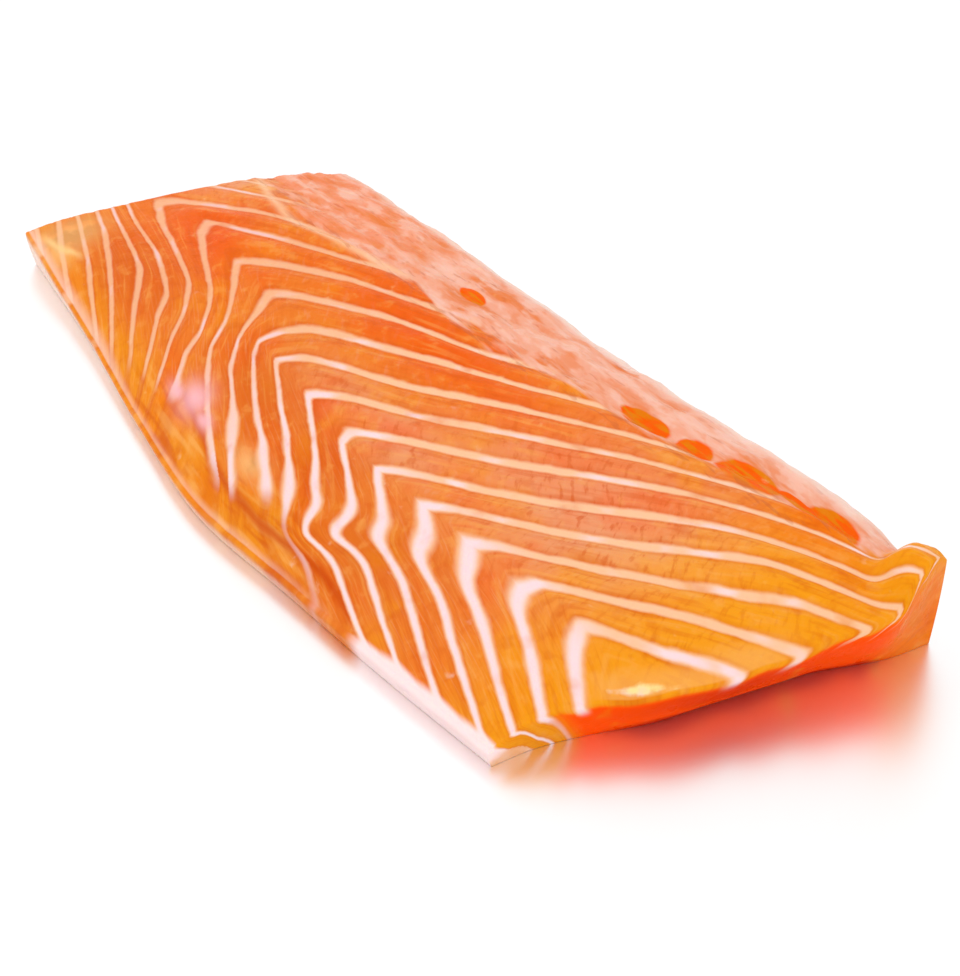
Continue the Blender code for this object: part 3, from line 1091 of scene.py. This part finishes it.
@dataclass(frozen=True)
class FleshMap:
    """Where each colour of the finish lies on the piece.

    A rise named along is read at places along the piece (mm), one named across at places across
    it, one named depth at the depth under the rim (mm), and one named height at the height over
    the table (mm).
    """

    lines: FatLines
    last_line: Rise = Rise(17.65, 17.55)
    far_line_strength: float = 0.72
    line_along: Rise = Rise(-50, 20)
    cut_line_depth: Rise = Rise(0.6, 2.6)
    cut_line_across: Rise = Rise(0.05, 0.16)
    left_branch_across: Rise = Rise(0.34, 0.24)
    pink_along: Rise = Rise(-50, 25)
    line_width: float = 0.113
    near_line_width: float = 0.07
    near_line_along: Rise = Rise(10, 55)
    near_line_across: Rise = Rise(0, 0.2)
    knob_width: float = 0.08
    knob_past_fold: float = 0.045
    knob_reach: float = 0.045
    knob_start_along: Rise = Rise(0, 14)
    knob_end_along: Rise = Rise(66, 48)
    wide_end_width: float = 0.13
    wide_ends: tuple[Patch, ...] = (
        Patch(-4, 0.125, 4.5, 0.05),
        Patch(6, 0.13, 4, 0.05),
        Patch(14, 0.11, 5, 0.045),
    )

    red: tuple[Patch, ...] = (
        Patch(0, 0.62, 42, 0.13),
        Patch(-66, 0.40, 24, 0.16),
        Patch(76, 0.87, 12, 0.05),
        Patch(-22, 0.055, 7, 0.02),
    )
    milky: tuple[Patch, ...] = (
        Patch(58, 0.5, 30, 0.22),
        Patch(-92, 0.68, 20, 0.16),
        Patch(20, 0.34, 22, 0.08),
    )
    dusk: tuple[Patch, ...] = (
        Patch(-6, 0.2, 17, 0.1),
        Patch(-66, 0.17, 20, 0.12),
        Patch(18, 0.17, 12, 0.1),
        Patch(38, 0.12, 14, 0.1),
    )
    lobe: Patch = Patch(97, 0.95, 9, 0.12)
    lobe_foot_depth: Rise = Rise(0.5, 5)
    lobe_foot_gold_loss: float = 0.7
    near_gold_along: Rise = Rise(60, 88)
    back_gold_loss: float = 0.5
    back_gold_across: Rise = Rise(0.7, 0.85)
    thin_gold: float = 0.55
    thin_gold_across: Rise = Rise(0.12, 0.04)
    thin_gold_along: Rise = Rise(45, 20)
    flap_across: Rise = Rise(0.12, 0.06)
    flap_start_along: Rise = Rise(-50, -25)
    flap_end_along: Rise = Rise(45, 25)
    fold: Streak = Streak(
        Course(
            (-22, -13, -7, -2, 6, 12, 19, 27, 38, 46),
            (0.09, 0.08, 0.073, 0.06, 0.05, 0.043, 0.038, 0.04, 0.035, 0.02),
        ),
        0.009,
        2.0,
    )
    corners: tuple[Patch, ...] = (
        Patch(-92, 0.1, 5.5, 0.1),
        Patch(-88, 0.04, 5, 0.03),
        Patch(6, 0.1, 4.5, 0.025),
    )
    wedge: Streak = Streak(Course((-95, -89, -84), (0.03, 0.055, 0.085)), 0.014, 3.0)
    wedge_strength: float = 0.85
    blush: tuple[Patch, ...] = (
        Patch(-18.5, 0.105, 4.6, 0.035),
        Patch(-24.5, 0.085, 3.5, 0.015),
        Patch(-12.0, 0.093, 3.2, 0.014),
    )
    blush_strength: float = 0.9
    glint: Streak = Streak(Course((86.6, 89.4, 92.2), (0.25, 0.31, 0.37)), 0.02, 1.4)

    strip_start: Course = Course(
        (0, 0.08, 0.17, 0.22, 0.3, 0.4, 0.6, 0.75, 0.88, 0.94, 1),
        (0.72, 0.69, 0.64, 0.66, 0.69, 0.70, 0.745, 0.78, 0.85, 0.92, 1.08),
    )
    strip_blend: float = 0.05
    strip_limits: tuple[float, float] = (-3, 4)
    strip_wall_loss: float = 3
    strip_wall_depth: Rise = Rise(0.8, 3.0)
    far_strip_along: Rise = Rise(-22, -50)
    bare_strip: float = 0.15
    bare_strip_along: Rise = Rise(-15, -45)
    seam: Streak = Streak(
        Course((-88, -82, -57, -48, -36, -26), (0.73, 0.702, 0.637, 0.662, 0.697, 0.735)),
        0.014,
    )
    seam_strength: float = 0.8
    fringe_strength: float = 0.7
    fringe_across: Rise = Rise(0.93, 0.98)
    fringe_along: Rise = Rise(90, 70)
    fringe_wall_loss: float = 0.75
    fringe_depth: Rise = Rise(0.5, 5)
    pits: tuple[Patch, ...] = (
        Patch(-12.6, 0.825, 4, 0.022),
        Patch(39.3, 0.822, 5.6, 0.03),
        Patch(50.5, 0.832, 3.6, 0.034),
        Patch(61.3, 0.85, 6.2, 0.046),
        Patch(69.5, 0.882, 4.2, 0.014),
        Patch(76.8, 0.892, 5.8, 0.05),
    )

    rim_width: float = 0.011
    rim_limit: float = 4
    rim_narrowing: float = 0.5
    rimless: float = 3
    rimless_along: Rise = Rise(58, 34)
    # Painted highlight along the near cut's upper rim.
    rim_light_near: Rise = Rise(0.972, 0.992)
    rim_light_start_across: Rise = Rise(0.2, 0.26)
    rim_light_end_across: Rise = Rise(0.68, 0.55)
    hem_loss: float = 0.35
    hem_loss_along: Rise = Rise(-55, -25)
    hem_end_along: Rise = Rise(45, 20)
    hem_width: float = 0.03
    hem_narrowing: float = 0.02
    hem_narrowing_along: Rise = Rise(-60, -30)
    hem_depth: Rise = Rise(0.1, 2.6)
    hem_top_strength: float = 0.5

    cut_across: Rise = Rise(0.09, 0.17)
    cut_depth: Rise = Rise(0.4, 1.4)
    cut_lip_loss: float = 0.85
    cut_lip_across: Rise = Rise(0.8, 0.93)
    # Painted shade on the near cut: a dark band low on it, and a dark foot by the table.
    dark_band: float = 0.75
    dark_band_middle: float = 0.48
    dark_band_reach: float = 0.2
    dark_band_depth: Rise = Rise(0.3, 2.0)
    dark_band_height: Rise = Rise(1.0, 5.0)
    foot_across: Rise = Rise(0.2, 0.36)
    foot_height: Rise = Rise(1.6, 0.2)
    foot_strength: float = 0.9

    def line_shares(self, skin: Skin) -> dict[str, np.ndarray]:
        """The fat lines' count, strength, width and pinkness, and the place across the piece.

        Args:
            skin: The places to read.

        Returns:
            Each value by its name.
        """
        phase = self.lines.phase(skin.x, skin.t)
        sunk = skin.near_cut * self.cut_line_depth.at(skin.depth) * self.cut_line_across.at(skin.t)
        gain = self.far_line_strength + (1 - self.far_line_strength) * self.line_along.at(skin.x)
        left_branch = self.left_branch_across.at(skin.t)
        near = self.near_line_along.at(skin.x) * left_branch * self.near_line_across.at(skin.t)
        knob_t = self.lines.fold_place.at(skin.x) + self.knob_past_fold
        knob = bell(skin.t, knob_t, self.knob_reach)
        knob = knob * self.knob_start_along.at(skin.x) * self.knob_end_along.at(skin.x)
        wide_end = patches_share(self.wide_ends, skin.x, skin.t)
        wide = self.line_width + self.near_line_width * near + self.knob_width * knob
        strength = self.lines.strength(skin.x, skin.t) * (1 - sunk) * gain
        return {
            "phase": phase,
            "across": skin.across,
            "along": skin.x / MM_PER_CM,
            "line": strength * self.last_line.at(phase),
            "wide": wide + self.wide_end_width * wide_end,
            "pink": left_branch * self.pink_along.at(skin.x),
        }

    def flake_shares(self, skin: Skin) -> dict[str, np.ndarray]:
        """Where the flakes are red, milky, dusky or golden, and the marks of the thin flank.

        Args:
            skin: The places to read.

        Returns:
            Each share by its name.
        """
        x = skin.x
        t = skin.t
        lobe = self.lobe.share(x, t)
        lobe_foot = skin.near_cut * lobe * self.lobe_foot_depth.at(skin.depth)
        near_gold = 1 - self.back_gold_loss * self.back_gold_across.at(t)
        near_gold = self.near_gold_along.at(x) * near_gold
        thin_gold = self.thin_gold * self.thin_gold_across.at(t) * self.thin_gold_along.at(x)
        gold = np.clip(near_gold + thin_gold + lobe, 0, 1)
        flap = self.flap_across.at(t) * self.flap_start_along.at(x) * self.flap_end_along.at(x)
        return {
            "red": np.maximum(patches_share(self.red, x, t), lobe_foot),
            "milky": patches_share(self.milky, x, t),
            "dusk": patches_share(self.dusk, x, t),
            "gold": gold * (1 - self.lobe_foot_gold_loss * lobe_foot),
            "flap": flap,
            "fold": skin.off_walls(self.fold.share(x, t)),
            "corner": patches_share(self.corners, x, t),
            "wedge": self.wedge_strength * self.wedge.share(x, t),
            "blush": skin.off_walls(self.blush_strength * patches_share(self.blush, x, t)),
            "glint": skin.off_walls(self.glint.share(x, t)),
        }

    def strip_shares(self, skin: Skin) -> dict[str, np.ndarray]:
        """Where the strip of back fat lies, with its far end, seam, pale fringe and pits.

        Args:
            skin: The places to read.

        Returns:
            Each share by its name; the strip's own is 0 at its border and 1 a blend inside it.
        """
        x = skin.x
        strip = (skin.t - self.strip_start.at(skin.s)) / self.strip_blend
        wall_strip = strip - self.strip_wall_loss * self.strip_wall_depth.at(skin.depth)
        strip = np.where(skin.wall, wall_strip, np.clip(strip, *self.strip_limits))
        fringe = self.fringe_strength * self.fringe_across.at(skin.t) * self.fringe_along.at(x)
        under = np.where(skin.zone == Zone.UNDERSIDE, 1.0, 0.0)
        return {
            "strip": strip - self.strip_limits[1] * under,
            "far": self.far_strip_along.at(x),
            "cover": 1 - self.bare_strip * self.bare_strip_along.at(x),
            "seam": skin.off_walls(self.seam_strength * self.seam.share(x, skin.t)),
            "fringe": fringe * (1 - self.fringe_wall_loss * self.fringe_depth.at(skin.depth)),
            "pit": skin.off_walls(patches_share(self.pits, x, skin.t)),
            "under": under,
        }

    def edge_shares(self, skin: Skin) -> dict[str, np.ndarray]:
        """Where the thin edge's pale rim and hem and the near cut's painted rim highlight lie.

        Args:
            skin: The places to read.

        Returns:
            Each share by its name; the rim's own grows from 0 on the thin edge's wall.
        """
        x = skin.x
        t = skin.t
        rim = t / self.rim_width + np.where(skin.on_cut, self.rim_narrowing * skin.depth, 0)
        rim = rim + self.rimless * self.rimless_along.at(x)
        hem = (1 - self.hem_loss * self.hem_loss_along.at(x)) * self.hem_end_along.at(x)
        hem_width = self.hem_width - self.hem_narrowing * self.hem_narrowing_along.at(x)
        top_hem = self.hem_top_strength * (1 - smooth_step(t, 0, hem_width))
        # On the wall the hem grows towards the foot: partly the edge's pale colour, partly painted
        # light lifting the shade there.
        wall_hem = np.where(t == 0, self.hem_depth.at(skin.depth), 0)
        light = self.rim_light_start_across.at(t) * self.rim_light_end_across.at(t)
        return {
            "rim": np.clip(rim, 0, self.rim_limit),
            "rim_light": skin.off_walls(self.rim_light_near.at(skin.s) * light),
            "hem": hem * np.where(skin.wall, wall_hem, top_hem),
        }

    def cut_shares(self, skin: Skin) -> dict[str, np.ndarray]:
        """Where the near cut is red, and where painted shade darkens it in a low band and along its
        foot.

        Args:
            skin: The places to read.

        Returns:
            Each share by its name.
        """
        lip = 1 - self.cut_lip_loss * self.cut_lip_across.at(skin.rim_t)
        red = skin.near_cut * self.cut_across.at(skin.t) * lip
        # Painted shade: a dark band low on the near cut, and its foot where it meets the table.
        band = self.dark_band * bell(skin.rim_t, self.dark_band_middle, self.dark_band_reach)
        band = band * self.dark_band_depth.at(skin.depth) * self.dark_band_height.at(skin.height)
        foot = self.foot_across.at(skin.t) * self.foot_height.at(skin.height)
        return {
            "cut": red * self.cut_depth.at(skin.depth),
            "foot": self.foot_strength * red * np.maximum(band, foot),
        }

    def values(self, skin: Skin) -> dict[str, np.ndarray]:
        """Every value that the finish reads, by its name.

        Args:
            skin: The places to read.

        Returns:
            Each value by its name.
        """
        return {
            **self.line_shares(skin),
            **self.flake_shares(skin),
            **self.strip_shares(skin),
            **self.edge_shares(skin),
            **self.cut_shares(skin),
        }


@dataclass
class FilletFlesh:
    """The whole fillet as one closed skin: its top, its four sides and its flat underside."""

    form: FilletForm
    finish: FleshFinish
    colours: FleshMap
    facets_along: int = 330
    facets_across: int = 170
    side_rows: int = 16
    underside_rings: int = 20
    even_along: float = 0.75
    even_across: float = 0.6
    side_crowding: float = 1.6
    sharp_degrees: float = 60
    name: str = "fillet_flesh"

    def stations(self, count: int, even_share: float) -> np.ndarray:
        """Stations from 0 to 1 that lie closer together towards both ends."""
        q = np.linspace(0, 1, count + 1)
        return even_share * q + (1 - even_share) * (0.5 - 0.5 * np.cos(np.pi * q))

    def rim_places(self, rows: int, columns: int) -> tuple[np.ndarray, np.ndarray]:
        """Grid places round the rim, anticlockwise seen from above.

        Args:
            rows: Rows of the top's grid.
            columns: Its columns.

        Returns:
            Row and column of each place on the rim.
        """
        i = np.concatenate([
            np.arange(rows),
            np.full(columns - 1, rows - 1),
            np.arange(rows - 2, -1, -1),
            np.zeros(columns - 2, int),
        ])
        j = np.concatenate([
            np.zeros(rows, int),
            np.arange(1, columns),
            np.full(rows - 1, columns - 1),
            np.arange(columns - 2, 0, -1),
        ])
        return i, j

    def top(self) -> dict[str, np.ndarray]:
        """Grid of the top, inset from the outline by the radius of the rounded edges.

        Returns:
            The grid's places s and t, and its points, by name.
        """
        along = self.stations(self.facets_along, self.even_along)
        across = self.stations(self.facets_across, self.even_across)
        s, t = np.meshgrid(along, across, indexing="ij")
        length = self.form.near_cut_x.values[0] - self.form.far_cut_x.values[0]
        breadth = self.form.back_edge_y.values[0] - self.form.thin_edge_y.values[0]
        inset_s = self.form.edge_rounding / length
        inset_t = self.form.edge_rounding / breadth
        inner_s = inset_s + s * (1 - 2 * inset_s)
        inner_t = inset_t + t * (1 - 2 * inset_t)
        return {"s": s, "t": t, "points": self.form.surface(inner_s, inner_t)}

    def side(self, top: np.ndarray, s: np.ndarray, t: np.ndarray) -> tuple[np.ndarray, np.ndarray]:
        """Rows of the sides, from just under the rim to the foot.

        Each goes out from the rim to the outline by a quarter circle, and in to the foot as the
        depth share to a power.

        Args:
            top: Points of the rim.
            s: The rim's places along the piece.
            t: The rim's places across the piece.

        Returns:
            Points of the rows, and their depth under the rim, both with the row first.
        """
        form = self.form
        outline = np.stack(form.plan(s, t), axis=-1)
        foot = np.stack(form.foot_plan(s, t), axis=-1)
        down = (np.arange(1, self.side_rows + 1) / self.side_rows) ** self.side_crowding
        depth = down[:, None] * top[None, :, 2]
        rounding = np.clip(depth / form.edge_rounding, 0, 1)
        out = np.sqrt(1 - (1 - rounding) ** 2)[..., None]
        lean = (down**form.lean_curve)[:, None, None]
        plan = top[None, :, :2] + out * (outline - top[:, :2])[None] + lean * (foot - outline)[None]
        height = top[None, :, 2] - depth
        return np.concatenate([plan, height[..., None]], axis=-1), depth

    def underside(self, s: np.ndarray, t: np.ndarray) -> tuple[np.ndarray, np.ndarray, np.ndarray]:
        """Rings of the flat underside, each nearer the middle, and their places.

        Args:
            s: The rim's places along the piece.
            t: The rim's places across it.

        Returns:
            Points of the rings, and their places along and across the piece.
        """
        share = 1 - np.arange(1, self.underside_rings + 1)[:, None] / (self.underside_rings + 1)
        ring_s = 0.5 + (s[None] - 0.5) * share
        ring_t = 0.5 + (t[None] - 0.5) * share
        x, y = self.form.foot_plan(ring_s, ring_t)
        return np.stack([x, y, np.zeros_like(x)], axis=-1), ring_s, ring_t

    def faces(self, rows: int, columns: int, rim: np.ndarray) -> list[tuple[int, ...]]:
        """Faces of the skin, all facing out.

        Args:
            rows: Rows of the top's grid.
            columns: Columns of the top's grid.
            rim: Vertex numbers of the rim in order.

        Returns:
            The top's quads, the quads between successive rings, and the last ring's face.
        """
        corner = (np.arange(rows - 1)[:, None] * columns + np.arange(columns - 1)[None]).ravel()
        quads = [np.stack([corner, corner + columns, corner + columns + 1, corner + 1], axis=-1)]
        ring = rim
        for level in range(self.side_rows + self.underside_rings):
            below = rows * columns + level * len(rim) + np.arange(len(rim))
            quads.append(np.stack([ring, below, np.roll(below, -1), np.roll(ring, -1)], axis=-1))
            ring = below
        faces = [tuple(face) for face in np.concatenate(quads).tolist()]
        faces.append(tuple(ring[::-1].tolist()))
        return faces

    def build(self) -> bpy.types.Object:
        """Mesh of the whole skin in metres, centred on the frame, with its values.

        Returns:
            The finished fillet.
        """
        grid = self.top()
        rows, columns = grid["s"].shape
        i, j = self.rim_places(rows, columns)
        rim_s = grid["s"][i, j]
        rim_t = grid["t"][i, j]
        side, depth = self.side(grid["points"][i, j], rim_s, rim_t)
        under, under_s, under_t = self.underside(rim_s, rim_t)
        points = np.concatenate([part.reshape(-1, 3) for part in (grid["points"], side, under)])
        points[:, :2] -= (points[:, :2].min(axis=0) + points[:, :2].max(axis=0)) / 2

        side_s = np.broadcast_to(rim_s, depth.shape)
        side_t = np.broadcast_to(rim_t, depth.shape)
        counts = (rows * columns, depth.size, under_s.size)
        skin = Skin(
            self.form,
            s=np.concatenate([grid["s"].ravel(), side_s.ravel(), under_s.ravel()]),
            rim_t=np.concatenate([grid["t"].ravel(), side_t.ravel(), under_t.ravel()]),
            depth=np.concatenate([np.zeros(counts[0]), depth.ravel(), np.zeros(counts[2])]),
            zone=np.repeat([Zone.TOP, Zone.WALL, Zone.UNDERSIDE], counts),
        )

        mesh = bpy.data.meshes.new(self.name)
        mesh.from_pydata((points * MM).tolist(), [], self.faces(rows, columns, i * columns + j))
        for name, values in self.colours.values(skin).items():
            attribute = mesh.attributes.new(name, "FLOAT", "POINT")
            attribute.data.foreach_set("value", values.astype(np.float32))
        mesh.validate()
        mesh.update()
        mesh.shade_smooth()
        mesh.set_sharp_from_angle(angle=np.radians(self.sharp_degrees))
        mesh.materials.append(self.finish.material())
        flesh = bpy.data.objects.new(self.name, mesh)
        bpy.context.scene.collection.objects.link(flesh)
        return flesh

    def place(self) -> bpy.types.Object:
        """Build the fillet and let it stand for the frame's solid.

        Returns:
            The finished fillet.
        """
        flesh = self.build()
        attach(flesh, "root")
        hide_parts("fillet")
        log.info("%s: %d faces", flesh.name, len(flesh.data.polygons))
        return flesh


@dataclass
class Table:
    """A plain white glossy table top under the fillet."""

    size: float = 6.0
    drop: float = 0.00005
    colour: tuple[float, ...] = (0.98, 0.98, 0.98, 1.0)
    mirror: float = 0.96
    roughness: float = 0.35

    def place(self) -> bpy.types.Object:
        """Build the table top as one square just under the fillet's underside.

        Returns:
            The table top.
        """
        half = self.size / 2
        plan = ((-half, -half), (half, -half), (half, half), (-half, half))
        corners = [(x, y, -self.drop) for x, y in plan]
        mesh = bpy.data.meshes.new("table_top")
        mesh.from_pydata(corners, [], [(0, 1, 2, 3)])
        mesh.update()
        shader = Shader(bpy.data.materials.new("white_table"))
        inputs = shader.principled.inputs
        inputs["Base Color"].default_value = self.colour
        inputs["Metallic"].default_value = self.mirror
        inputs["Roughness"].default_value = self.roughness
        mesh.materials.append(shader.material)
        top = bpy.data.objects.new("table_top", mesh)
        bpy.context.scene.collection.objects.link(top)
        log.info("table top: %.1f m square", self.size)
        return top


@dataclass
class Studio:
    """Plain soft studio light: a white room, a large key lamp and a weaker fill lamp."""

    room_light: float = 1.03
    lamp_size: float = 0.8
    key_place: tuple[float, float, float] = (-0.75, -0.35, 1.15)
    key_power: float = 4.0
    fill_place: tuple[float, float, float] = (1.15, -0.15, 0.2)
    fill_power: float = 2.2

    def lamp(self, name: str, place: tuple[float, float, float], power: float) -> bpy.types.Object:
        """Add a round lamp that points at the fillet.

        Args:
            name: The lamp's name.
            place: Where it stands, in metres.
            power: Its power in watts.

        Returns:
            The lamp.
        """
        data = bpy.data.lights.new(name, "AREA")
        data.shape = "DISK"
        data.size = self.lamp_size
        data.energy = power
        lamp = bpy.data.objects.new(name, data)
        lamp.location = place
        lamp.rotation_euler = Vector(place).to_track_quat("Z", "Y").to_euler()
        bpy.context.scene.collection.objects.link(lamp)
        return lamp

    def place(self) -> None:
        """Make the room's light and the two lamps."""
        world = bpy.data.worlds.new("white_room")
        world.use_nodes = True
        background = world.node_tree.nodes["Background"]
        background.inputs["Color"].default_value = (1, 1, 1, 1)
        background.inputs["Strength"].default_value = self.room_light
        bpy.context.scene.world = world
        self.lamp("key_lamp", self.key_place, self.key_power)
        self.lamp("fill_lamp", self.fill_place, self.fill_power)
        powers = (self.key_power, self.fill_power)
        log.info("studio: room light %.2f, lamps %.1f and %.1f W", self.room_light, *powers)


@dataclass
class PhotoCamera:
    """Camera at the photograph's viewing angle, for a picture 960 wide and 976 high."""

    location: tuple[float, float, float] = (0.30576, -0.16904, 0.23405)
    turn_degrees: float = 58.989
    look_down_degrees: float = 35.0
    focal_pixels: float = 2304.0
    picture_height: float = 976.0
    sensor: float = 36.0
    nearest: float = 0.01

    def place(self) -> None:
        """Make the camera and set it as the scene's own."""
        turn = np.radians(self.turn_degrees)
        down = np.radians(self.look_down_degrees)
        right = Vector((np.cos(turn), np.sin(turn), 0))
        level = Vector((-np.sin(turn), np.cos(turn), 0))
        forward = np.cos(down) * level - np.sin(down) * Vector((0, 0, 1))
        up = right.cross(forward)
        data = bpy.data.cameras.new("camera")
        data.sensor_width = self.sensor
        data.lens = self.focal_pixels * self.sensor / self.picture_height
        data.clip_start = self.nearest
        camera = bpy.data.objects.new("camera", data)
        turned = Matrix((right, up, -forward)).transposed().to_4x4()
        camera.matrix_world = Matrix.Translation(self.location) @ turned
        bpy.context.scene.collection.objects.link(camera)
        bpy.context.scene.camera = camera
        log.info("camera: %.1f mm lens", data.lens)


def main() -> None:
    """Build the camera, the light, the table and the fillet."""
    logging.basicConfig(level=logging.INFO, format="%(message)s")
    bpy.context.scene.view_settings.view_transform = "Standard"
    PhotoCamera().place()
    Studio().place()
    Table().place()
    form = FilletForm()
    FilletFlesh(form, FleshFinish(), FleshMap(form.lines)).place()


if __name__ == "__main__":
    main()
